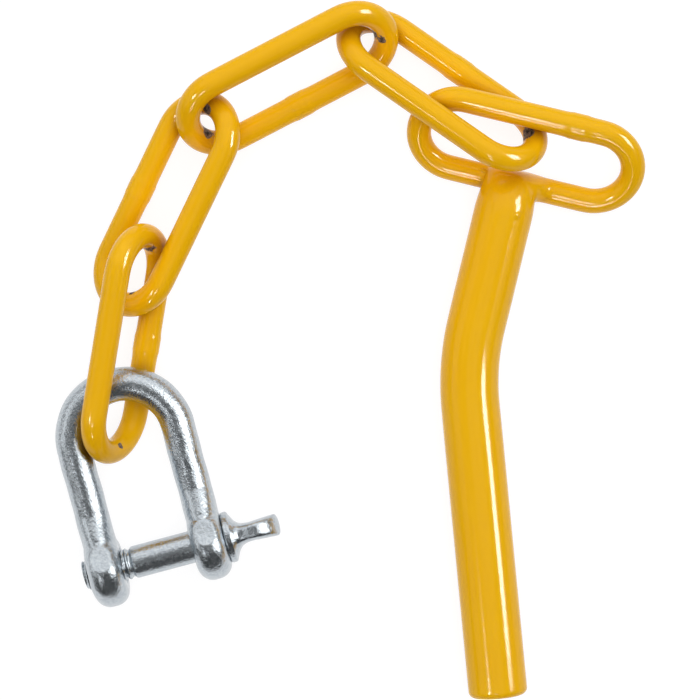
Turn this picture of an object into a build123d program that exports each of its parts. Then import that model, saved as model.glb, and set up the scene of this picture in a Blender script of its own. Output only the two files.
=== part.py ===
from build123d import *
import os
from math import asin, cos, degrees, radians, sin, tan

# Bent locking pin with a chain link welded across its top, four loose long links
# and a screw pin D shackle. Millimetres, +Z up, the set lies on a table at Z = 0.

# Locking pin bar
bar_diameter = 14.1
bar_shank_length = 79.5       # straight run from the corner of the bend to the tip
bar_neck_length = 45.3        # straight run from the corner of the bend to the head link
bar_bend_angle = 19.1
bar_bend_radius = 60.0
bar_tip_round = 1.6
bar_shank_heading = -84.5     # plan direction of the shank, from +X

# Long link chain, one size of link for the head and for the loose links
link_wire = 6.0
link_pitch = 46.0             # inside length
link_inner_width = 12.8
upset_height = 0.4            # swelling of the resistance weld over the wire
upset_length = 8.0

# Head link, welded by one long side to the end of the bar
head_heading = 166.5          # plan direction from the weld towards the chain
head_tilt = -34.0             # about its long axis, the free side stands up
head_weld_offset = 1.65       # from the middle of the side to the bar's axis
head_upset_shift = -10.5      # its wire joint lies off the middle, away from the chain

# Weld metal: a dome over the wire at the bar's end and a toe in the inner corner
bead_width = 10.5
bead_foot = 2.0               # lowest and highest point of the dome's far end
bead_top = 8.4
bead_reach = 2.4              # how far the dome passes the wire's centre
toe_leg = 4.0                 # past the bar along the wire, past the wire along the bar
toe_lap = 1.5                 # how far the toe starts inside the dome
toe_hollow = 0.42             # share of the toe's run that its hollow face leaves filled
toe_height = 7.0
toe_rise = 1.2                # middle of the toe above the middle of the wire

# Lay of the loose links: plan heading, rise of the far end, tilt about the long axis,
# the step from the last crown's apex to this crown's apex, all as they lie, and the
# side that its wire joint is on.
chain_lay = [
    (144.8, -3.8, 44.6, (26.59, -6.34, 4.22), -1),
    (207.6, 0.8, -48.3, (7.51, -0.39, 1.48), 1),
    (243.9, -4.8, 37.0, (5.54, 5.67, 0.97), -1),
    (260.3, -5.2, -64.7, (6.84, 15.33, 7.85), 1),
]
lay_gap = 0.3                 # air between pieces that hang in each other
settle_steps = 20

# D shackle, forged bow with two eyes
bow_wire = 8.1
jaw_width = 17.2
jaw_length = 34.2             # from the inside of the bow to the pin
eye_diameter = 18.0
eye_thickness = 8.2
eye_rim_round = 3.3
flare_length = 8.5            # where the leg swells into the eye
flare_depth = 13.6            # depth of the flare where it enters the eye
flare_lap = 4.0               # how far the flare runs on inside the eye
shoulder_slope = 20.0         # forged flat on the flare, above and below
shoulder_start = 2.4          # from the start of the flare to the start of the flat
bow_heading = -75.1
bow_step = (0.67, 15.69)      # plan step from the last link's crown to the bow's apex

# Screw pin of the shackle
pin_diameter = 7.8
pin_tip_stand_out = 1.4
pin_tip_chamfer = 0.8
running_clearance = 0.06      # radial, pin in the eyes
seat_clearance = 0.1          # collar against the eye
collar_diameter = 12.3
collar_thickness = 3.4
collar_round = 1.0
neck_diameter = 5.6
neck_flare = 2.6              # run of the hollow flare from the collar to the neck
neck_hollow = (0.7, 1.0)      # its lowest point, out from the neck and along the pin
tab_diameter = 12.6
tab_thickness = 4.8
tab_hole = 5.2
tab_stand_off = 11.6          # from the collar's outer face to the end of the tab
tab_edge_round = 1.1
hole_margin = 1.0             # from the end of the round neck to the tab's hole
pin_turn = 7.2                # where the screw pin has come to rest in its thread

# Worked out from the sizes above
bar_radius = bar_diameter / 2
wire_radius = link_wire / 2
crown_radius = (link_inner_width + link_wire) / 2
link_side_half = link_pitch / 2 + wire_radius - crown_radius
link_reach = link_pitch / 2 + wire_radius
leg_offset = (jaw_width + bow_wire) / 2
eye_axis_reach = bow_wire / 2 + jaw_length + pin_diameter / 2
eye_radius = eye_diameter / 2


def heading(angle):
    """Level unit vector at a plan angle in degrees from +X."""
    return Vector(cos(radians(angle)), sin(radians(angle)), 0)


def lay_plane(near_apex, reach, plan, rise, tilt):
    """Plane of a link or bow whose near apex is given: X runs away from the apex."""
    level = heading(plan + 90)
    along = heading(plan) * cos(radians(rise)) + Vector(0, 0, sin(radians(rise)))
    up = along.cross(level)
    normal = up * cos(radians(tilt)) - level * sin(radians(tilt))
    return Plane(origin=near_apex + along * reach, x_dir=along, z_dir=normal)


def link_path():
    """Centre line of a long link in the XY plane: two sides and two round crowns."""
    side, crown = link_side_half, crown_radius
    return Wire([
        Line((-side, -crown), (side, -crown)),
        ThreePointArc((side, -crown), (side + crown, 0), (side, crown)),
        Line((side, crown), (-side, crown)),
        ThreePointArc((-side, crown), (-side - crown, 0), (-side, -crown)),
    ])


def bent_half_turn(centre, start):
    """Round wire turned by half a circle about a vertical axis, from the start section."""
    return revolve(start, Axis(centre, (0, 0, 1)), 180)


def link_solid(upset_side, upset_shift=0.0):
    """Round wire bent to a long link, with the swelling of its weld on one side."""
    side, crown = link_side_half, crown_radius
    ring = Part()
    for way in (1, -1):
        start = Plane(origin=(-way * side, -way * crown, 0), z_dir=(way, 0, 0)) * Circle(wire_radius)
        turn = Plane(origin=(way * side, -way * crown, 0), z_dir=(way, 0, 0)) * Circle(wire_radius)
        ring += extrude(start, 2 * side)
        ring += bent_half_turn((way * side, 0, 0), turn)
    half = upset_length / 2
    swelling = make_face([
        Line((-half, 0), (half, 0)),
        Line((half, 0), (half, wire_radius)),
        Spline((half, wire_radius), (0, wire_radius + upset_height), (-half, wire_radius),
               tangents=[(-1, 0), (-1, 0)]),
        Line((-half, wire_radius), (-half, 0)),
    ])
    return ring + Pos(upset_shift, upset_side * crown, 0) * revolve(swelling, Axis.X)


def bow_path():
    """Centre line of the shackle's bow, X from the apex of the bow to the eyes."""
    far = eye_axis_reach
    return Wire([
        Line((far, leg_offset), (leg_offset, leg_offset)),
        ThreePointArc((leg_offset, leg_offset), (0, 0), (leg_offset, -leg_offset)),
        Line((leg_offset, -leg_offset), (far, -leg_offset)),
    ])


def settle(plane, carrier):
    """Move a laid link until it clears its carrier by the gap and rests on the table."""
    spacing = link_wire + lay_gap
    for _ in range(settle_steps):
        laid = plane.location * link_path()
        distance, own_point, carrier_point = laid.distance_to_with_closest_points(carrier)
        push = (own_point - carrier_point) * ((spacing - distance) / distance)
        sunk = wire_radius - (laid.bounding_box().min.Z + push.Z)
        push += Vector(0, 0, max(sunk, 0))
        plane = Plane(origin=plane.origin + push, x_dir=plane.x_dir, z_dir=plane.z_dir)
    return plane


def lay_bow(crown_apex, carrier):
    """Plane of the bow: both eyes on the table, the bow lifted clear of the link in it."""
    spacing = (link_wire + bow_wire) / 2 + lay_gap
    eye_height = eye_radius
    rise = 0.0
    for _ in range(settle_steps):
        apex_height = eye_height - eye_axis_reach * sin(radians(rise))
        apex = Vector(crown_apex.X + bow_step[0], crown_apex.Y + bow_step[1], apex_height)
        plane = lay_plane(apex, 0, bow_heading, rise, 0)
        distance = (plane.location * bow_path()).distance_to(carrier)
        rise -= degrees(asin((spacing - distance) / eye_axis_reach))
    return plane


def eye(side):
    """Forged eye of the bow at one side of the jaw, with the flare of its leg."""
    half = eye_thickness / 2
    round_in = eye_rim_round
    rim = make_face([
        Line((0, -half), (eye_radius - round_in, -half)),
        RadiusArc((eye_radius - round_in, -half), (eye_radius, -half + round_in), -round_in),
        Line((eye_radius, -half + round_in), (eye_radius, half - round_in)),
        RadiusArc((eye_radius, half - round_in), (eye_radius - round_in, half), -round_in),
        Line((eye_radius - round_in, half), (0, half)),
        Line((0, half), (0, -half)),
    ])
    disc = Pos(eye_axis_reach, side * leg_offset, 0) * revolve(rim, Axis.Y)
    flare_end = eye_axis_reach - eye_radius + flare_lap
    across = {"x_dir": (0, 1, 0), "z_dir": (1, 0, 0)}
    start = Plane(origin=(flare_end - flare_length, side * leg_offset, 0), **across)
    end = Plane(origin=(flare_end, side * leg_offset, 0), **across)
    leg_section = start * Circle(bow_wire / 2)
    eye_section = end * Ellipse(eye_thickness / 2, flare_depth / 2)
    forging = disc + loft([leg_section, eye_section])
    rise_per_run = (flare_depth - bow_wire) / 2 / flare_length
    flat_x = flare_end - flare_length + shoulder_start
    flat_z = bow_wire / 2 + rise_per_run * shoulder_start
    for up in (1, -1):
        flat = Pos(flat_x, side * leg_offset, up * flat_z) * Rot(0, -up * shoulder_slope, 0)
        forging -= flat * Pos(eye_radius, 0, up * eye_radius) * Box(*[2 * eye_radius] * 3)
    return forging


def shackle_bow_solid():
    """Bow, both eyes and the bore through them."""
    far = eye_axis_reach
    start = Plane(origin=(leg_offset, leg_offset, 0), z_dir=(-1, 0, 0)) * Circle(bow_wire / 2)
    bow = bent_half_turn((leg_offset, 0, 0), start)
    for side in (1, -1):
        foot = Plane(origin=(far, side * leg_offset, 0), z_dir=(-1, 0, 0)) * Circle(bow_wire / 2)
        bow += extrude(foot, far - leg_offset)
        bow += eye(side)
    bore = Cylinder(pin_diameter / 2 + running_clearance, 4 * leg_offset, rotation=(90, 0, 0))
    return bow - Pos(far, 0, 0) * bore


def shackle_pin_solid():
    """Screw pin: chamfered tip, shank, collar, flared neck and an eye tab on edge."""
    shank = pin_diameter / 2
    tip = -(leg_offset + eye_thickness / 2 + pin_tip_stand_out)
    seat = leg_offset + eye_thickness / 2 + seat_clearance
    collar_end = seat + collar_thickness
    collar = collar_diameter / 2
    neck = neck_diameter / 2
    tab_end = collar_end + tab_stand_off
    tab_centre = tab_end - tab_diameter / 2
    neck_end = tab_centre - tab_hole / 2 - hole_margin
    profile = make_face([
        Polyline((0, tip), (shank - pin_tip_chamfer, tip), (shank, tip + pin_tip_chamfer),
                 (shank, seat), (collar - collar_round, seat)),
        RadiusArc((collar - collar_round, seat), (collar, seat + collar_round), -collar_round),
        Line((collar, seat + collar_round), (collar, collar_end - collar_round)),
        RadiusArc((collar, collar_end - collar_round), (collar - collar_round, collar_end),
                  -collar_round),
        ThreePointArc((collar - collar_round, collar_end),
                      (neck + neck_hollow[0], collar_end + neck_hollow[1]),
                      (neck, collar_end + neck_flare)),
        Polyline((neck, collar_end + neck_flare), (neck, neck_end), (0, neck_end), (0, tip)),
    ])
    body = revolve(profile, Axis.Y)
    tab = Cylinder(tab_diameter / 2, tab_thickness, rotation=(0, 90, 0))
    tab = fillet(tab.edges(), tab_edge_round)
    tab -= Cylinder(tab_hole / 2, 2 * tab_thickness, rotation=(0, 90, 0))
    tab = Pos(0, tab_centre, 0) * tab
    below_collar_face = Pos(0, seat, 0) * Box(4 * collar, 2 * collar_thickness, 4 * collar)
    return body + (tab - below_collar_face)


# The bar lies flat, its axis one radius above the table. The corner of the bend,
# where the two straight axes would meet, is the lay's starting point.
corner = Vector(0, 0, bar_radius)
shank_way = heading(bar_shank_heading)
neck_way = heading(bar_shank_heading + 180 - bar_bend_angle)
bend_run = bar_bend_radius * tan(radians(bar_bend_angle / 2))
tip_point = corner + shank_way * bar_shank_length
bend_point = corner + shank_way * bend_run
neck_point = corner + neck_way * bend_run
bend_centre = bend_point + heading(bar_shank_heading + 90) * bar_bend_radius
bend_start = Plane(origin=bend_point, z_dir=shank_way * -1) * Circle(bar_radius)
pin_bar = (
    extrude(Plane(origin=tip_point, z_dir=shank_way * -1) * Circle(bar_radius),
            bar_shank_length - bend_run)
    + revolve(bend_start, Axis(bend_centre, (0, 0, -1)), bar_bend_angle)
    + extrude(Plane(origin=neck_point, z_dir=neck_way) * Circle(bar_radius),
              bar_neck_length - wire_radius - bend_run)
)
tip_edge = pin_bar.edges().filter_by(GeomType.CIRCLE).sort_by_distance(tip_point)[0]
pin_bar = fillet(tip_edge, bar_tip_round)

# Head link: its lower side lies on the table across the end of the bar.
weld_point = corner + neck_way * bar_neck_length
weld_point = Vector(weld_point.X, weld_point.Y, wire_radius)
head_level = heading(head_heading + 90)
head_up = Vector(0, 0, 1)
head_across = head_level * cos(radians(head_tilt)) + head_up * sin(radians(head_tilt))
head_centre = (weld_point - heading(head_heading) * head_weld_offset
               - head_across * crown_radius)
head_plane = Plane(origin=head_centre, x_dir=heading(head_heading),
                   z_dir=heading(head_heading).cross(head_across))
head_link = head_plane.location * link_solid(-1, head_upset_shift)

# Weld metal between the bar's end and the head link, shaped to both of them.
bar_end = Plane(origin=corner + neck_way * (bar_neck_length - wire_radius), z_dir=neck_way,
                x_dir=neck_way.cross(Vector(0, 0, 1)))
over_wire = Plane(origin=weld_point + neck_way * bead_reach
                  + Vector(0, 0, (bead_foot + bead_top) / 2 - wire_radius),
                  z_dir=neck_way, x_dir=bar_end.x_dir)
dome_end = Ellipse(bead_width / 2, (bead_top - bead_foot) / 2)
dome = loft([bar_end * Circle(bar_radius), over_wire * dome_end])
link_way = heading(head_heading + 180)
toe_corner = weld_point + link_way * (bar_radius - toe_lap)
toe_corner = Vector(toe_corner.X, toe_corner.Y, 0)
toe_run = toe_leg + wire_radius
toe_outline = make_face([
    Line(toe_corner, toe_corner + link_way * toe_run),
    ThreePointArc(toe_corner + link_way * toe_run,
                  toe_corner + (link_way - neck_way) * (toe_run * toe_hollow),
                  toe_corner - neck_way * toe_run),
    Line(toe_corner - neck_way * toe_run, toe_corner),
])
toe_foot = wire_radius + toe_rise - toe_height / 2
toe = Pos(0, 0, toe_foot) * extrude(toe_outline, toe_height)
weld_bead = dome + toe - pin_bar - head_link

# Loose links, each hung in the one before it.
nodes = {"pin_bar": pin_bar, "head_link": head_link, "weld_bead": weld_bead}
link_planes = [head_plane]
for number, (plan, rise, tilt, step, upset_side) in enumerate(chain_lay, start=1):
    carrier_plane = link_planes[-1]
    last_apex = carrier_plane.origin + carrier_plane.x_dir * link_reach
    plane = lay_plane(last_apex + Vector(*step), link_reach, plan, rise, tilt)
    plane = settle(plane, carrier_plane.location * link_path())
    link_planes.append(plane)
    nodes[f"chain_link_{number}"] = plane.location * link_solid(upset_side)

# Shackle on the last link.
last_plane = link_planes[-1]
last_apex = last_plane.origin + last_plane.x_dir * link_reach
bow_plane = lay_bow(last_apex, last_plane.location * link_path())
nodes["shackle_bow"] = bow_plane.location * shackle_bow_solid()
seated = Pos(eye_axis_reach, 0, 0) * Rot(0, -pin_turn, 0)
nodes["shackle_pin"] = bow_plane.location * seated * shackle_pin_solid()

# Origin at the middle of the whole set, on the table.
whole = Compound(children=[solid.solids()[0] for solid in nodes.values()]).bounding_box()
to_origin = Pos(-whole.center().X, -whole.center().Y, -whole.min.Z)

os.makedirs("parts", exist_ok=True)
for name, solid in nodes.items():
    export_step(to_origin * solid, f"parts/{name}.step")
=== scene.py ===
from math import pi

import bpy
import numpy as np
from mathutils import Matrix


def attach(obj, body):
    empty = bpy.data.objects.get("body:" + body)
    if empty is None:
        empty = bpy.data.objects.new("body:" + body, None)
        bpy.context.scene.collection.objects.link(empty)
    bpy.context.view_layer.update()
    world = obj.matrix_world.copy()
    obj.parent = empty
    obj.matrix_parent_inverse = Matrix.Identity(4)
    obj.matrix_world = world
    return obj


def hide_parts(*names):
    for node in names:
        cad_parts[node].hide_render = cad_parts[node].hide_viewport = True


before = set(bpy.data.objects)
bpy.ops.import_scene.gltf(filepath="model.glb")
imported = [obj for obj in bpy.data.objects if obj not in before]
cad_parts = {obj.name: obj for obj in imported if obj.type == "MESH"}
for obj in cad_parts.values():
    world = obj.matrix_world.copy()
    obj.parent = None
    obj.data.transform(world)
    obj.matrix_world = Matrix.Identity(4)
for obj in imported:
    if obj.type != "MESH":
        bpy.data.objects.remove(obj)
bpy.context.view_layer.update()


# Studio. The set lies on a matt white table, under a wide box and between pale walls that
# fill it evenly. Boxes 6 m off, on the right and low in front, draw the thin streaks in the
# coat, and nearer ones shine on the zinc. The camera looks straight down from about 60 cm.
CAMERA_PLACE = (-0.000202, 0.000480, 0.595)
LENS_MM = 126.4
SENSOR_MM = 36.0
NEAREST_SEEN = 0.01
TABLE_WHITE = "#FFFFFF"
TABLE_GREY = "#78787A"
ROOM_WHITE = "#FFFFFF"
STRIP_WHITE = "#FFFCF6"
ROOM_DIM = 0.03
ROOM_BRIGHT = 0.60
NEAR_SIDE = 0.35
TABLE_GLOW = 0.88
STREAK_BRIGHTNESS = 10


def linear(colour):
    """sRGB hex to linear RGBA: low parts divided by 12.92, the rest shifted, scaled and raised to 2.4."""
    parts = np.array([int(colour[i:i + 2], 16) / 255 for i in (1, 3, 5)])
    low = parts / 12.92
    high = ((parts + 0.055) / 1.055) ** 2.4
    return (*np.where(parts <= 0.04045, low, high).tolist(), 1.0)


def add_node(tree, kind, inputs=None, **settings):
    """Adds a node. inputs gives a socket's name or number a value, or another node's output."""
    node = tree.nodes.new(kind)
    for name, value in settings.items():
        setattr(node, name, value)
    for socket, value in (inputs or {}).items():
        if isinstance(value, bpy.types.NodeSocket):
            tree.links.new(value, node.inputs[socket])
        else:
            node.inputs[socket].default_value = value
    return node


def new_material(name):
    """An empty node material and its tree."""
    material = bpy.data.materials.new(name)
    material.use_nodes = True
    material.node_tree.nodes.clear()
    return material, material.node_tree


def softbox(name, place, length_way, size, brightness, mirrored=True, fills=True, lit=None):
    """A rectangular area light at place, in metres, that faces the set. Its second side runs along
    length_way. Its power is pi times its area times the brightness wanted, which is how bright a
    mirror would show it. A light with lit falls only on the pieces in that collection."""
    lamp = bpy.data.lights.new(name, "AREA")
    lamp.shape = "RECTANGLE"
    lamp.size, lamp.size_y = size
    lamp.energy = pi * size[0] * size[1] * brightness
    lamp.color = linear(STRIP_WHITE if brightness > STREAK_BRIGHTNESS else ROOM_WHITE)[:3]
    box = bpy.data.objects.new(name, lamp)
    bpy.context.scene.collection.objects.link(box)
    away = np.array(place) / np.linalg.norm(place)
    side = np.cross(length_way, away)
    side = side / np.linalg.norm(side)
    turn = np.eye(4)
    turn[:3, 0], turn[:3, 1], turn[:3, 2], turn[:3, 3] = side, np.cross(away, side), away, place
    box.matrix_world = Matrix(turn.tolist())
    box.visible_camera = False
    box.visible_glossy = mirrored
    box.visible_diffuse = fills
    if lit:
        box.light_linking.receiver_collection = lit
    return box


camera = bpy.data.objects.new("camera", bpy.data.cameras.new("camera"))
bpy.context.scene.collection.objects.link(camera)
camera.location = CAMERA_PLACE
camera.data.lens = LENS_MM
camera.data.sensor_width = SENSOR_MM
camera.data.clip_start = NEAREST_SEEN
bpy.context.scene.camera = camera
bpy.context.scene.view_settings.view_transform = "Standard"

coated = bpy.data.collections.new("coated_pieces")
plated = bpy.data.collections.new("plated_pieces")
softbox("coat_strip_right", (4.714, 1.069, 3.555), (-0.221, 0.975, 0.0), (1.70, 3.05), 50.0,
        fills=False, lit=coated)
softbox("zinc_strip_right", (1.68, 0.296, 1.83), (-0.174, 0.985, 0.0), (2.0, 1.5), 2.8,
        fills=False, lit=plated)
softbox("coat_strip_near", (-0.791, -4.881, 3.398), (-0.302, 0.576, 0.760), (0.30, 1.50), 60.0,
        fills=False, lit=coated)
softbox("coat_box_near", (-0.540, -3.040, 5.140), (1.0, 0.0, 0.0), (0.90, 0.70), 60.0,
        fills=False, lit=coated)
softbox("coat_box_left", (-3.160, -1.830, 4.760), (0.500, -0.866, 0.0), (1.05, 1.05), 60.0,
        fills=False, lit=coated)
softbox("zinc_strip_near", (-0.95, -1.20, 1.96), (0.28, -0.345, -0.128), (0.40, 1.0), 3.0,
        fills=False, lit=plated)
softbox("far_wall", (0.00, 0.51, 0.51), (0.0, 0.7, -0.7), (1.20, 0.84), 0.95)
softbox("left_wall", (-0.66, 0.05, 0.34), (0.0, 1.0, 0.0), (0.34, 0.80), 0.9,
        fills=False)
softbox("right_wall", (0.66, 0.05, 0.40), (0.0, 1.0, 0.0), (0.36, 0.80), 0.8,
        fills=False)
softbox("overhead_fill", (0.10, -0.16, 0.95), (0.0, 1.0, 0.0), (0.80, 0.80), 2.52,
        mirrored=False)

world = bpy.data.worlds.new("pale_room")
world.use_nodes = True
bpy.context.scene.world = world
room = world.node_tree
room.nodes.clear()
around_room = add_node(room, "ShaderNodeTexCoord").outputs["Generated"]
shapes = add_node(room, "ShaderNodeTexNoise", {"Vector": around_room, "Scale": 6.0, "Detail": 2.0})
spread = add_node(room, "ShaderNodeMapRange", {
    "Value": shapes.outputs["Fac"], "From Min": 0.42, "From Max": 0.6,
    "To Min": ROOM_DIM, "To Max": ROOM_BRIGHT})
way = add_node(room, "ShaderNodeSeparateXYZ", {"Vector": around_room})
unlit = add_node(room, "ShaderNodeMapRange", {
    "Value": way.outputs["Y"], "From Min": -0.35, "From Max": 0.1, "To Min": NEAR_SIDE, "To Max": 1.0})
dimmed = add_node(room, "ShaderNodeMath", {0: spread.outputs[0], 1: unlit.outputs[0]},
                  operation="MULTIPLY")
glow = add_node(room, "ShaderNodeBackground", {"Color": linear(ROOM_WHITE), "Strength": dimmed.outputs[0]})
add_node(room, "ShaderNodeOutputWorld", {"Surface": glow.outputs[0]})

# Matt white table top: a bright sheet that glows a little, so that it burns out to white. It
# stands a hair under the set, so that the pieces that rest on it show whole.
HALF_TABLE = 2.5
TABLE_DROP = 0.00002
table_paint, tree = new_material("matt_white_table")
sheet = add_node(tree, "ShaderNodeBsdfPrincipled", {
    "Base Color": linear(TABLE_GREY), "Roughness": 0.9, "Specular IOR Level": 0.1,
    "Emission Color": linear(TABLE_WHITE), "Emission Strength": TABLE_GLOW})
add_node(tree, "ShaderNodeOutputMaterial", {"Surface": sheet.outputs[0]})
table = bpy.data.meshes.new("table_top")
table.from_pydata([(-HALF_TABLE, -HALF_TABLE, 0), (HALF_TABLE, -HALF_TABLE, 0),
                   (HALF_TABLE, HALF_TABLE, 0), (-HALF_TABLE, HALF_TABLE, 0)], [], [(0, 1, 2, 3)])
table.materials.append(table_paint)
table_top = bpy.data.objects.new("table_top", table)
bpy.context.scene.collection.objects.link(table_top)
table_top.location.z = -TABLE_DROP


# Loose chain links. Each is 6 mm round steel wire bent to a long link with a butt weld in
# one side, blasted and powder coated after the chain was joined, so the crowns that
# touched in the oven are left bare and dark.
WIRE_RADIUS = 3.0
SIDE_HALF = 16.6
CROWN_RADIUS = 9.4
CROWN_THINNING = 0.07
SWELLING = 0.2
SWELLING_HALF = 4.2
SEAM_RIDGE = 0.07
RIDGE_PLACE = 0.4
RIDGE_WIDTH = 0.13
BEND_EASE = 2.0
AROUND = 48
ALONG = 320


def skin(name, rings, closed, attributes=None):
    """Mesh of a grid of points in millimetres: rings[i, j] is joined to its four neighbours. Rings
    wrap round, and the row of rings wraps too if closed, or else each end is closed to a pole at the
    middle of its ring. The faces are turned over if the volume they close comes out negative."""
    count, round_count = rings.shape[:2]
    points = rings.reshape(-1, 3)
    index = np.arange(count * round_count).reshape(count, round_count)
    right = np.roll(index, -1, axis=1)
    if closed:
        quads = np.stack([index, right, np.roll(right, -1, axis=0), np.roll(index, -1, axis=0)], -1)
    else:
        quads = np.stack([index[:-1], right[:-1], right[1:], index[1:]], -1)
    faces = quads.reshape(-1, 4).tolist()
    if not closed:
        first, last = len(points), len(points) + 1
        points = np.vstack([points, rings[0].mean(0), rings[-1].mean(0)])
        faces += [(first, b, a) for a, b in zip(index[0].tolist(), right[0].tolist())]
        faces += [(last, a, b) for a, b in zip(index[-1].tolist(), right[-1].tolist())]
    corners = points[quads.reshape(-1, 4)]
    middle = points.mean(0)
    volume = np.einsum("ij,ij->i", corners[:, 0] - middle,
                       np.cross(corners[:, 1] - corners[:, 0], corners[:, 2] - corners[:, 0])).sum()
    if volume < 0:
        faces = [tuple(face)[::-1] for face in faces]
    mesh = bpy.data.meshes.new(name)
    mesh.from_pydata((points / 1000).tolist(), [], faces)
    mesh.polygons.foreach_set("use_smooth", np.ones(len(faces), bool))
    for title, values in (attributes or {}).items():
        full = np.concatenate([values.reshape(-1), [values[0].mean(), values[-1].mean()]])[:len(points)]
        mesh.attributes.new(title, "FLOAT", "POINT").data.foreach_set("value", full.astype(np.float32))
    mesh.update()
    piece = bpy.data.objects.new(name, mesh)
    bpy.context.scene.collection.objects.link(piece)
    return piece


def wire_link(name, centre, along, across, joint_side, joint_shift, rubbed):
    """Round profile carried round a racetrack. The heading of the outward normal stays level along a
    side and turns at an even rate round a crown, and both are averaged over a short run so that the
    bend eases in. The profile's radius is the wire's, less a little at the crowns where the wire is
    stretched, plus a raised cosine at the joint with a small bell curve each side of it, where the
    weld's burr was trimmed. The bare attribute falls evenly away from each rubbed place."""
    run = 2 * SIDE_HALF
    turn = pi * CROWN_RADIUS
    knots = np.cumsum([0, run, turn, run, turn])
    s = np.linspace(0, knots[-1], ALONG, endpoint=False)
    ease = np.linspace(-BEND_EASE, BEND_EASE, 9)[:, None]
    wrapped = (s + ease) % knots[-1]
    laps = 2 * pi * np.floor((s + ease) / knots[-1])
    angle = (np.interp(wrapped, knots, np.radians([-90, -90, 90, 90, 270])) + laps).mean(0)
    centre_x = np.interp(wrapped, knots, [-SIDE_HALF, SIDE_HALF, SIDE_HALF, -SIDE_HALF, -SIDE_HALF]).mean(0)
    x = centre_x + CROWN_RADIUS * np.cos(angle)
    y = CROWN_RADIUS * np.sin(angle)
    out = np.stack([np.cos(angle), np.sin(angle)], -1)
    crown = np.clip(np.abs(out[:, 0]), 0, 1)
    from_joint = np.abs(x - joint_shift) / SWELLING_HALF
    on_side = y * joint_side > CROWN_RADIUS / 2
    swell = SWELLING * (0.5 + 0.5 * np.cos(pi * np.clip(from_joint, 0, 1)))
    ridges = SEAM_RIDGE * np.exp(-((from_joint - RIDGE_PLACE) / RIDGE_WIDTH) ** 2)
    radius = WIRE_RADIUS - CROWN_THINNING * crown + np.where(on_side, swell + ridges, 0)
    along, across = np.array(along), np.array(across)
    normal = np.cross(along, across)
    around = np.linspace(0, 2 * pi, AROUND, endpoint=False)
    path = np.array(centre) + x[:, None] * along + y[:, None] * across
    outward = out[:, :1] * along + out[:, 1:] * across
    rings = (path[:, None] + radius[:, None, None]
             * (np.cos(around)[:, None] * outward[:, None] + np.sin(around)[:, None] * normal))
    bare = np.zeros(rings.shape[:2])
    for place, reach in rubbed:
        away = np.linalg.norm(rings - np.array(place), axis=-1)
        bare = np.maximum(bare, np.clip(1.5 - away / reach, 0, 1))
    return skin(name, rings, True, {"bare": bare})


# Powder coat: electrostatic polyester powder, cured to a glossy skin. Its colour is even,
# with painted shade that turns it browner in crevices and near the table, its skin has a faint
# orange peel about 2.4 mm across, and the bare marks are dark scaled steel.
COAT_YELLOW = "#F5BC0C"
COAT_DEEP = "#F2B308"
COAT_PAINTED_SHADE = "#A8680A"
SCALE_DARK = "#100B08"
SCALE_GREY = "#8E7A6C"
CRUMBLING = 1.8
CHIP_DEPTH = -3.0
powder_coat, tree = new_material("yellow_powder_coat")
where = add_node(tree, "ShaderNodeTexCoord").outputs["Object"]
cloud = add_node(tree, "ShaderNodeTexNoise", {"Vector": where, "Scale": 60.0, "Detail": 2.0})
tint = add_node(tree, "ShaderNodeMix", {
    "Factor": cloud.outputs["Fac"], "A": linear(COAT_DEEP), "B": linear(COAT_YELLOW)}, data_type="RGBA")
worn = add_node(tree, "ShaderNodeAttribute", attribute_name="bare").outputs["Fac"]
crumbs = add_node(tree, "ShaderNodeTexNoise", {
    "Vector": where, "Scale": 1100.0, "Detail": 4.0, "Roughness": 0.7})
edge = add_node(tree, "ShaderNodeMath", {0: crumbs.outputs["Fac"], 1: CRUMBLING, 2: worn},
                operation="MULTIPLY_ADD")
bare = add_node(tree, "ShaderNodeMapRange", {"Value": edge.outputs[0], "From Min": 1.36, "From Max": 1.44})
flakes = add_node(tree, "ShaderNodeMapRange", {
    "Value": crumbs.outputs["Fac"], "From Min": 0.42, "From Max": 0.66})
scale = add_node(tree, "ShaderNodeMix", {
    "Factor": flakes.outputs[0], "A": linear(SCALE_DARK), "B": linear(SCALE_GREY)}, data_type="RGBA")
# Painted shade: an ambient occlusion node reaching 7 mm mixes the coat towards a deep brown in crevices,
# between links and on undersides near the table.
occlusion_shade = add_node(tree, "ShaderNodeAmbientOcclusion", {"Distance": 0.007}, samples=8)
painted_shade_amount = add_node(tree, "ShaderNodeMapRange", {
    "Value": occlusion_shade.outputs["AO"], "From Min": 0.1, "From Max": 0.86})
painted_shade_tint = add_node(tree, "ShaderNodeMix", {
    "Factor": painted_shade_amount.outputs[0], "A": linear(COAT_PAINTED_SHADE), "B": tint.outputs["Result"]}, data_type="RGBA")
colour = add_node(tree, "ShaderNodeMix", {
    "Factor": bare.outputs[0], "A": painted_shade_tint.outputs["Result"], "B": scale.outputs["Result"]}, data_type="RGBA")
rough = add_node(tree, "ShaderNodeMapRange", {"Value": bare.outputs[0], "To Min": 0.12, "To Max": 0.55})
peel = add_node(tree, "ShaderNodeTexNoise", {"Vector": where, "Scale": 420.0, "Detail": 1.0})
height = add_node(tree, "ShaderNodeMath", {0: bare.outputs[0], 1: CHIP_DEPTH, 2: peel.outputs["Fac"]},
                  operation="MULTIPLY_ADD")
relief = add_node(tree, "ShaderNodeBump", {
    "Height": height.outputs[0], "Strength": 0.25, "Distance": 0.00006})
coat = add_node(tree, "ShaderNodeBsdfPrincipled", {
    "Base Color": colour.outputs["Result"], "Roughness": rough.outputs[0], "IOR": 1.5,
    "Specular IOR Level": 0.18, "Normal": relief.outputs[0]})
add_node(tree, "ShaderNodeOutputMaterial", {"Surface": coat.outputs[0]})

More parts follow.
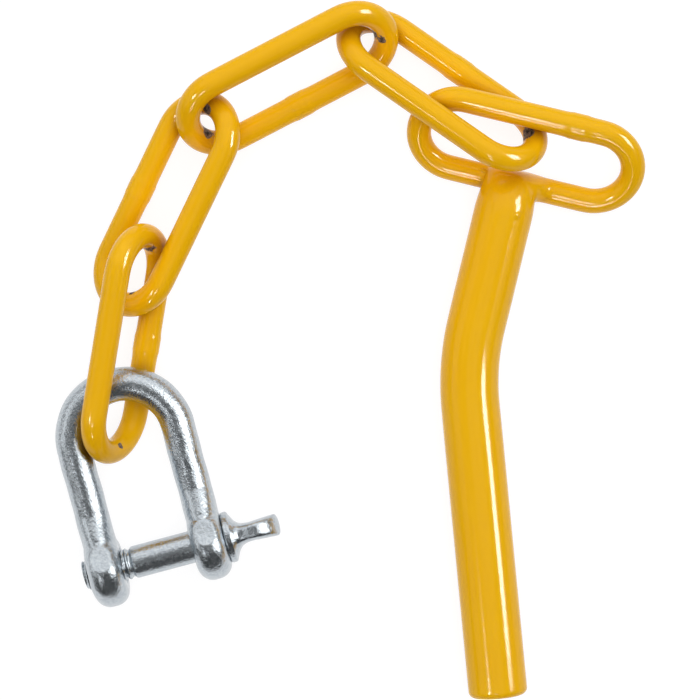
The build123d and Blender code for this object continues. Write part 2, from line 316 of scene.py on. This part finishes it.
LOOSE_LINKS = [
    ("chain_link_1", "link_1", (21.6873, 62.4748, 10.8289),
     (-0.8153, 0.5752, -0.0663), (-0.4485, -0.5550, 0.7006),
     -1, 0.0, [((41.8, 51.9, 11.1), 2.0), ((7.2, 73.0, 8.0), 1.6)]),
    ("chain_link_2", "link_2", (-15.0406, 64.9801, 10.9639),
     (-0.8861, -0.4633, 0.0140), (0.2990, -0.5944, -0.7466),
     1, 0.0, [((4.6, 75.6, 11.4), 2.0), ((7.0, 73.4, 12.0), 1.5), ((-34.0, 52.5, 10.0), 1.7)]),
    ("chain_link_3", "link_3", (-43.9732, 35.3266, 10.1609),
     (-0.4384, -0.8949, -0.0837), (0.6950, -0.3966, 0.5997),
     -1, 0.0, [((-34.1, 57.2, 14.7), 1.4), ((-51.9, 14.1, 12.3), 0.9)]),
    ("chain_link_4", "link_4", (-53.0594, 1.8721, 13.7291),
     (-0.1678, -0.9816, -0.0906), (0.4351, 0.0088, -0.9004),
     1, 0.0, [((-47.7, 25.1, 14.5), 1.6), ((-54.7, -22.2, 11.7), 0.8)]),
]
for node, body, centre, along, across, side, shift, rubbed in LOOSE_LINKS:
    link = wire_link(node + "_coated", centre, along, across, side, shift, rubbed)
    link.data.materials.append(powder_coat)
    coated.objects.link(link)
    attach(link, body)
    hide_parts(node)


# Head link. The same long link, welded by one side across the top of the bar as the
# pin's handle, and coated with it in one go.
head = wire_link("head_link_coated", (41.7440, 48.1324, 8.2564), (-0.9724, 0.2334, 0.0),
                 (-0.1935, -0.8061, -0.5592), -1, -10.5, [((24.4, 58.0, 13.0), 1.0)])
head.data.materials.append(powder_coat)
coated.objects.link(head)
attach(head, "pin")
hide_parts("head_link")


# Locking pin bar. 14 mm round bar, sawn off, its edge broken with a grinder, and bent cold
# once, so it is a hair slimmer through the bend.
BAR_RADIUS = 7.05
TIP_ROUND = 1.6
TIP_PLACE = np.array([35.2870, -82.2240, 7.05])
SHANK_HEADING = 95.5
NECK_HEADING = 76.4
SHANK_RUN = 69.406
BEND_RUN = 20.001
NECK_RUN = 25.7
BEND_SLIMMING = 0.06
PATH_STEP = 0.05
RING_STEP = 0.5
BAR_AROUND = 112


def round_bar():
    """Round profile carried along a path whose heading turns at an even rate through the bend. The
    path is the running sum of the heading's cosine and sine. At the tip the radius grows from a flat
    face by a quarter round. The bend is slimmer by a smooth step that peaks at its middle."""
    length = SHANK_RUN + BEND_RUN + NECK_RUN
    face = np.linspace(0.02, 1, 12) ** 0.5 * (BAR_RADIUS - TIP_ROUND)
    corner = np.linspace(0, pi / 2, 14)[1:]
    body = np.arange(TIP_ROUND, length, RING_STEP)[1:]
    s = np.concatenate([face * 0, TIP_ROUND * (1 - np.cos(corner)), body])
    radius = np.concatenate([face, BAR_RADIUS - TIP_ROUND + TIP_ROUND * np.sin(corner),
                             body * 0 + BAR_RADIUS])
    steps = np.arange(0, length + 2 * PATH_STEP, PATH_STEP)
    heading = np.radians(np.interp(steps, [SHANK_RUN, SHANK_RUN + BEND_RUN], [SHANK_HEADING, NECK_HEADING]))
    x = np.concatenate([[0], np.cumsum(np.cos(heading[:-1] + np.diff(heading) / 2) * PATH_STEP)])
    y = np.concatenate([[0], np.cumsum(np.sin(heading[:-1] + np.diff(heading) / 2) * PATH_STEP)])
    way = np.interp(s, steps, heading)
    bend = np.clip(1 - np.abs(s - SHANK_RUN - BEND_RUN / 2) / BEND_RUN, 0, 1)
    radius = radius - BEND_SLIMMING * bend ** 2 * (3 - 2 * bend)
    path = TIP_PLACE + np.stack([np.interp(s, steps, x), np.interp(s, steps, y), 0 * s], -1)
    level = np.stack([np.sin(way), -np.cos(way), 0 * way], -1)
    around = np.linspace(0, 2 * pi, BAR_AROUND, endpoint=False)
    rings = (path[:, None] + radius[:, None, None]
             * (np.cos(around)[:, None] * level[:, None] + np.sin(around)[:, None] * np.array([0, 0, 1.0])))
    return skin("pin_bar_coated", rings, False, {"bare": np.zeros(rings.shape[:2])})


bar = round_bar()
bar.data.materials.append(powder_coat)
coated.objects.link(bar)
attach(bar, "pin")
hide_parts("pin_bar")


# Weld between bar and head link: one fat pass laid over the wire from the bar's end. It
# runs out smoothly towards the right and stops short on the left, where two beads show.
WELD_POINT = np.array([38.3203, 40.9399, 3.0])
NECK_WAY = np.array([0.23514, 0.97196, 0.0])
LINK_WAY = np.array([0.97237, -0.23345, 0.0])
WELD_MIDDLE = (-1.5, 0.0, 5.2)
WELD_REACH = 14.0
FALL_START = -8.5
FALL_RUN = 12.2
FALL_FOOT = 4.6
FALL_NARROWING = 0.9
END_PLACE = 3.0
END_ROUND = 2.4
FILLET_TIGHT = 0.6
FILLET_WIDE = 4.8
COAT_BUILD = 0.02
SINKING = 0.12
BEAD_BLEND = 0.3
BEADS = [(0.9, -6.9, 6.1, 0.5), (-1.5, -7.5, 5.6, 0.45), (-8.2, 2.66, 12.85, 1.0)]


def ease(value):
    """Smooth step: three times the square less twice the cube, from 0 to 1."""
    value = np.clip(value, 0, 1)
    return value * value * (3 - 2 * value)


def merged(a, b, width):
    """Smooth smallest of two distances: the smaller one, less a parabola where they differ by less
    than width."""
    near = np.clip(width - np.abs(a - b), 0, None) / width
    return np.minimum(a, b) - near * near * width / 4


def weld_distance(t, u, z):
    """Distance to the welded joint. t runs along the bar past the wire's middle, u along the wire, z
    up. The bar's round section falls along an ellipse to the wire's far side, and is merged with the
    wire, widely on the right and tightly on the left, where two small beads sit on the seam. A third
    sits on the bar. Far from the seam the skin sinks under the bar and the wire, and the table
    cuts it off below."""
    fall = np.clip((t - FALL_START) / FALL_RUN, 0, 0.999)
    top = FALL_FOOT + (2 * BAR_RADIUS - FALL_FOOT) * np.sqrt(1 - fall * fall)
    half_height = top / 2
    half_width = BAR_RADIUS - FALL_NARROWING * ease(fall)
    bar_part = (np.hypot(u / half_width, z / half_height - 1) - 1) * half_height
    bar_part = -merged(-bar_part, -(t - END_PLACE), END_ROUND)
    wire_part = np.hypot(t, z - WIRE_RADIUS) - WIRE_RADIUS
    along_wire = ease((u + 4) / 9) * ease((12.5 - u) / 4.5)
    along_bar = ease((t + 7) / 8) * ease((4.2 - t) / 4)
    fillet = FILLET_TIGHT + FILLET_WIDE * along_wire * along_bar
    joint = merged(bar_part, wire_part, fillet)
    for bead_t, bead_u, bead_z, size in BEADS:
        bead = np.sqrt((t - bead_t) ** 2 + (u - bead_u) ** 2 + (z - bead_z) ** 2) - size
        joint = merged(joint, bead, BEAD_BLEND)
    sunk_across = np.maximum(ease((u - 9.2) / 3.2), 3 * ease((-u - 8.2) / 1.6))
    sunk = np.maximum(ease((-t - 10.5) / 2.5), sunk_across)
    return np.maximum(joint - COAT_BUILD + SINKING * sunk, COAT_BUILD - z)


def weld_skin():
    """Each point lies where a ray from the weld's middle leaves the joint, found by halving a step
    between inside and the reach. Rays cover the sphere by a polar angle from the bar's way and an
    angle round it."""
    polar = np.linspace(0.02, pi - 0.02, 170)[:, None]
    round_it = np.linspace(0, 2 * pi, 220, endpoint=False)[None, :]
    ray = np.stack([np.cos(polar) + 0 * round_it, np.sin(polar) * np.cos(round_it),
                    np.sin(polar) * np.sin(round_it)])
    low, high = np.zeros(ray.shape[1:]), np.full(ray.shape[1:], WELD_REACH)
    for _ in range(30):
        middle = (low + high) / 2
        point = [start + middle * part for start, part in zip(WELD_MIDDLE, ray)]
        inside = weld_distance(*point) < 0
        low, high = np.where(inside, middle, low), np.where(inside, high, middle)
    t, u, z = (start + low * part for start, part in zip(WELD_MIDDLE, ray))
    rings = (WELD_POINT * (1, 1, 0) + t[..., None] * NECK_WAY + u[..., None] * LINK_WAY
             + z[..., None] * np.array([0, 0, 1.0]))
    return skin("weld_coated", rings, False, {"bare": np.zeros(rings.shape[:2])})


weld = weld_skin()
weld.data.materials.append(powder_coat)
coated.objects.link(weld)
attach(weld, "pin")
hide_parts("weld_bead")


# Shackle bow. Hot forged steel bent to a D, its ends beaten to two round eyes whose
# shoulders are set flat in the die, then bored, tapped and bright zinc plated.
BOW_PLACE = np.array([-56.7521, -7.9607, 11.842])
BOW_LONG = np.array([0.25650, -0.96420, -0.06740])
BOW_WIDE = np.array([0.96640, 0.25710, 0.0])
BOW_UP = np.array([0.01730, -0.06520, 0.99770])
BOW_WIRE = 4.05
LEG_OFFSET = 12.65
EYE_AXIS = 42.15
EYE_RADIUS = 9.0
EYE_HALF = 4.1
FLARE_START = 28.65
FLARE_RUN = 8.5
FLARE_HALF = 6.8
RIM_ROUND = 3.6
FLAT_START = 34.4
FLAT_HEIGHT = 5.80
FLAT_RISE = 0.45
BORE_RADIUS = 3.96
BORE_CHAMFER = 0.45
CHAMFER_RUN = 0.5
SHARP_EDGE = 0.75
HAMMERING = 0.05
FLARE_BLEND = 0.8


def bow_section(x, turn):
    """Height and half thickness at x along a leg. The depth is the larger of the flare's, which
    grows evenly, and the eye's circle. The thickness is an ellipse's in the flare and a rounded rim's
    in the eye, whichever is more. The height is then held under the flat of the shoulder."""
    flare = BOW_WIRE + (FLARE_HALF - BOW_WIRE) * np.clip((x - FLARE_START) / FLARE_RUN, 0, 1)
    flare = np.where(x > FLARE_START + FLARE_RUN, 0.01, flare)
    eye = np.sqrt(np.clip(EYE_RADIUS ** 2 - (x - EYE_AXIS) ** 2, 0, None))
    depth = -merged(-flare, -eye, FLARE_BLEND)
    height = depth * np.sin(turn)
    oval = BOW_WIRE * np.sqrt(np.clip(1 - (height / flare) ** 2, 0, None)) * (x < FLARE_START + FLARE_RUN)
    from_axis = np.hypot(x - EYE_AXIS, height)
    into_rim = np.clip(from_axis - (EYE_RADIUS - RIM_ROUND), 0, RIM_ROUND)
    rim = (EYE_HALF - RIM_ROUND + np.sqrt(RIM_ROUND ** 2 - into_rim ** 2)) * (from_axis < EYE_RADIUS + 1e-6)
    flat = np.where(x < FLAT_START, 2 * EYE_RADIUS, FLAT_HEIGHT + FLAT_RISE * (x - FLAT_START))
    return np.clip(height, -flat, flat), np.sign(np.cos(turn)) * np.maximum(oval, rim)


def bow_skin():
    """The section is carried down one leg, round the bow at an even turn and down the other leg. Two
    shallow sine waves along and round it stand for the hammer's unevenness."""
    nose = EYE_AXIS + EYE_RADIUS * np.sin(np.linspace(1.52, 0, 36))
    leg = np.concatenate([nose, np.arange(EYE_AXIS, FLARE_START, -0.22)[1:],
                          np.arange(FLARE_START, LEG_OFFSET, -0.5)])
    bend = np.linspace(pi / 2, 3 * pi / 2, 96)
    x = np.concatenate([leg, bend * 0 + LEG_OFFSET, leg[::-1]])[:, None]
    way = np.concatenate([leg * 0 + pi / 2, bend, leg * 0 + 3 * pi / 2])[:, None]
    turn = np.linspace(0, 2 * pi, 112, endpoint=False)[None, :]
    height, width = bow_section(x, turn)
    s = LEG_OFFSET * way - (x - LEG_OFFSET) * np.cos(way - pi / 2)
    wave = 1 + HAMMERING / BOW_WIRE * (np.sin(s * 0.42 + turn) + 0.6 * np.sin(s * 0.9 - 2 * turn + 1.3))
    reach = LEG_OFFSET + width * wave
    rings = (BOW_PLACE + (x + reach * np.cos(way))[..., None] * BOW_LONG
             + (reach * np.sin(way))[..., None] * BOW_WIDE + (height * wave)[..., None] * BOW_UP)
    return skin("shackle_bow_plated", rings, False)


def drilled(piece, centre, way, side, lift, stations, radii):
    """Cuts a round hole: a rod of these radii at these stations along way is taken out of the piece
    for good, and edges sharper than SHARP_EDGE, in radians, are kept crisp."""
    around = np.linspace(0, 2 * pi, 64, endpoint=False)[None, :, None]
    rings = (np.array(centre) + stations[:, None, None] * np.array(way)
             + radii[:, None, None] * (np.cos(around) * np.array(side) + np.sin(around) * np.array(lift)))
    drill = skin("drill", rings, False)
    cut = piece.modifiers.new("hole", "BOOLEAN")
    cut.operation, cut.solver, cut.object = "DIFFERENCE", "EXACT", drill
    bpy.context.view_layer.update()
    whole = bpy.data.meshes.new_from_object(piece.evaluated_get(bpy.context.evaluated_depsgraph_get()))
    piece.modifiers.clear()
    old, piece.data = piece.data, whole
    bpy.data.meshes.remove(old)
    bpy.data.objects.remove(drill)
    whole.polygons.foreach_set("use_smooth", np.ones(len(whole.polygons), bool))
    whole.set_sharp_from_angle(angle=SHARP_EDGE)


# Bright zinc: electroplate over forge scale, so it mirrors the room in mottled bands with a
# blue grey cast. The grain is about 0.6 mm, drawn coarser than the real one so that it shows.
ZINC_PALE = "#D2D8DC"
ZINC_GREY = "#969EA5"
PATCH_SHARE = 0.6
bright_zinc, tree = new_material("bright_zinc_plate")
where = add_node(tree, "ShaderNodeTexCoord").outputs["Object"]
mottle = add_node(tree, "ShaderNodeTexNoise", {
    "Vector": where, "Scale": 1700.0, "Detail": 3.0, "Roughness": 0.6})
patches = add_node(tree, "ShaderNodeTexNoise", {"Vector": where, "Scale": 330.0, "Detail": 2.0})
mixed = add_node(tree, "ShaderNodeMath", {
    0: patches.outputs["Fac"], 1: PATCH_SHARE, 2: mottle.outputs["Fac"]}, operation="MULTIPLY_ADD")
tone = add_node(tree, "ShaderNodeMix", {
    "Factor": mottle.outputs["Fac"], "A": linear(ZINC_GREY), "B": linear(ZINC_PALE)}, data_type="RGBA")
rough = add_node(tree, "ShaderNodeMapRange", {
    "Value": mixed.outputs[0], "From Min": 0.6, "From Max": 1.0, "To Min": 0.12, "To Max": 0.26})
relief = add_node(tree, "ShaderNodeBump", {
    "Height": mixed.outputs[0], "Strength": 0.8, "Distance": 0.00014})
zinc = add_node(tree, "ShaderNodeBsdfPrincipled", {
    "Base Color": tone.outputs["Result"], "Metallic": 1.0, "Roughness": rough.outputs[0],
    "Normal": relief.outputs[0]})
add_node(tree, "ShaderNodeOutputMaterial", {"Surface": zinc.outputs[0]})

bow = bow_skin()
bore_y = np.arange(-20, 20.1, 0.25)
mouths = [np.clip(1 - np.abs(np.abs(bore_y) - face) / CHAMFER_RUN, 0, 1)
          for face in (LEG_OFFSET - EYE_HALF, LEG_OFFSET + EYE_HALF)]
drilled(bow, BOW_PLACE + EYE_AXIS * BOW_LONG, BOW_WIDE, BOW_LONG, BOW_UP, bore_y,
        BORE_RADIUS + BORE_CHAMFER * (mouths[0] + mouths[1]))
bow.data.materials.append(bright_zinc)
plated.objects.link(bow)
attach(bow, "shackle")
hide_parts("shackle_bow")


# Screw pin. Forged with a collar and a flat eye tab, turned, its end cut with an M8 coarse
# thread that screws into the far eye, and plated like the bow.
PIN_PLACE = np.array([-45.9406, -48.6017, 9.001])
PIN_FLAT = np.array([0.256698, -0.964741, 0.058154])
PIN_TALL = np.array([-0.01498, 0.05615, 0.99828])
THREAD_PITCH = 1.25
THREAD_DEPTH = 0.62
THREAD_END = -7.3
THREAD_TIP = -18.1
TAB_MIDDLE = 24.0
TAB_RADIUS = 6.3
TAB_REACH = 5.9
TAB_ROUND = 1.1
TAB_HALF = 2.35
TAB_SWELL = 0.3
TAB_SQUARENESS = 2.2
TAB_HOLE = 2.6
HOLE_CHAMFER = 0.5
PIN_KNOTS = [
    (-18.15, 0.05, 0.05), (-18.15, 3.2, 3.2), (-17.5, 3.8, 3.8), (-7.2, 3.8, 3.8), (-6.9, 3.3, 3.3),
    (-6.3, 3.3, 3.3), (-6.1, 3.75, 3.75), (-5.6, 3.88, 3.88), (16.75, 3.88, 3.88), (16.8, 6.15, 6.15),
    (18.2, 6.15, 6.15), (18.7, 5.0, 5.9), (19.3, 3.8, 5.5), (20.1, 2.9, 5.2), (21.3, 2.4, 5.4),
    (22.7, 2.3, 6.0), (24.0, 2.35, 6.3),
]


def pin_skin():
    """Half sizes along the flat and the tall way follow the knots, then the tab's oval to its rounded
    end, both averaged over a short run. The section is round up to the collar and a squarer oval at
    the tab. The thread takes away a V whose phase is the length over the pitch less the turn round
    the pin."""
    sweep = np.linspace(0.05, pi / 2, 40)
    into_end = np.clip((TAB_REACH * np.sin(sweep) - TAB_REACH + TAB_ROUND) / TAB_ROUND, 0, 1)
    thickness = (TAB_HALF + TAB_SWELL * np.sin(sweep)) * np.sqrt(1 - into_end ** 3)
    tab = np.stack([TAB_MIDDLE + TAB_REACH * np.sin(sweep), thickness + 0.03,
                    TAB_RADIUS * np.cos(sweep) + 0.02], -1)
    knots = np.vstack([PIN_KNOTS, tab])
    run = np.concatenate([[0], np.cumsum(np.linalg.norm(np.diff(knots, axis=0), axis=1))])
    s = np.arange(0, run[-1], 0.11)
    near = np.clip(s + np.linspace(-0.35, 0.35, 7)[:, None], 0, run[-1])
    y, flat, tall = (np.interp(near, run, knots[:, k]).mean(0)[:, None] for k in range(3))
    turn = np.linspace(0, 2 * pi, 96, endpoint=False)[None, :]
    square = 2 + TAB_SQUARENESS * ease((y - 18.5) / 4)
    cut = (y / THREAD_PITCH - turn / (2 * pi)) % 1
    run_out = ease((THREAD_END - y) / 0.8) * ease((y - THREAD_TIP) / 0.6)
    depth = THREAD_DEPTH * (1 - np.abs(2 * cut - 1)) * run_out
    across = (flat - depth) * np.sign(np.cos(turn)) * np.abs(np.cos(turn)) ** (2 / square)
    up = (tall - depth) * np.sign(np.sin(turn)) * np.abs(np.sin(turn)) ** (2 / square)
    rings = (PIN_PLACE + (y + 0 * turn)[..., None] * BOW_WIDE + across[..., None] * PIN_FLAT
             + up[..., None] * PIN_TALL)
    return skin("shackle_pin_plated", rings, False)


pin = pin_skin()
hole_x = np.arange(-5, 5.1, 0.25)
drilled(pin, PIN_PLACE + TAB_MIDDLE * BOW_WIDE, PIN_FLAT, BOW_WIDE, PIN_TALL, hole_x,
        TAB_HOLE + HOLE_CHAMFER * np.clip(1 - np.abs(np.abs(hole_x) - TAB_HALF) / CHAMFER_RUN, 0, 1))
pin.data.materials.append(bright_zinc)
plated.objects.link(pin)
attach(pin, "screw_pin")
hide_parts("shackle_pin")
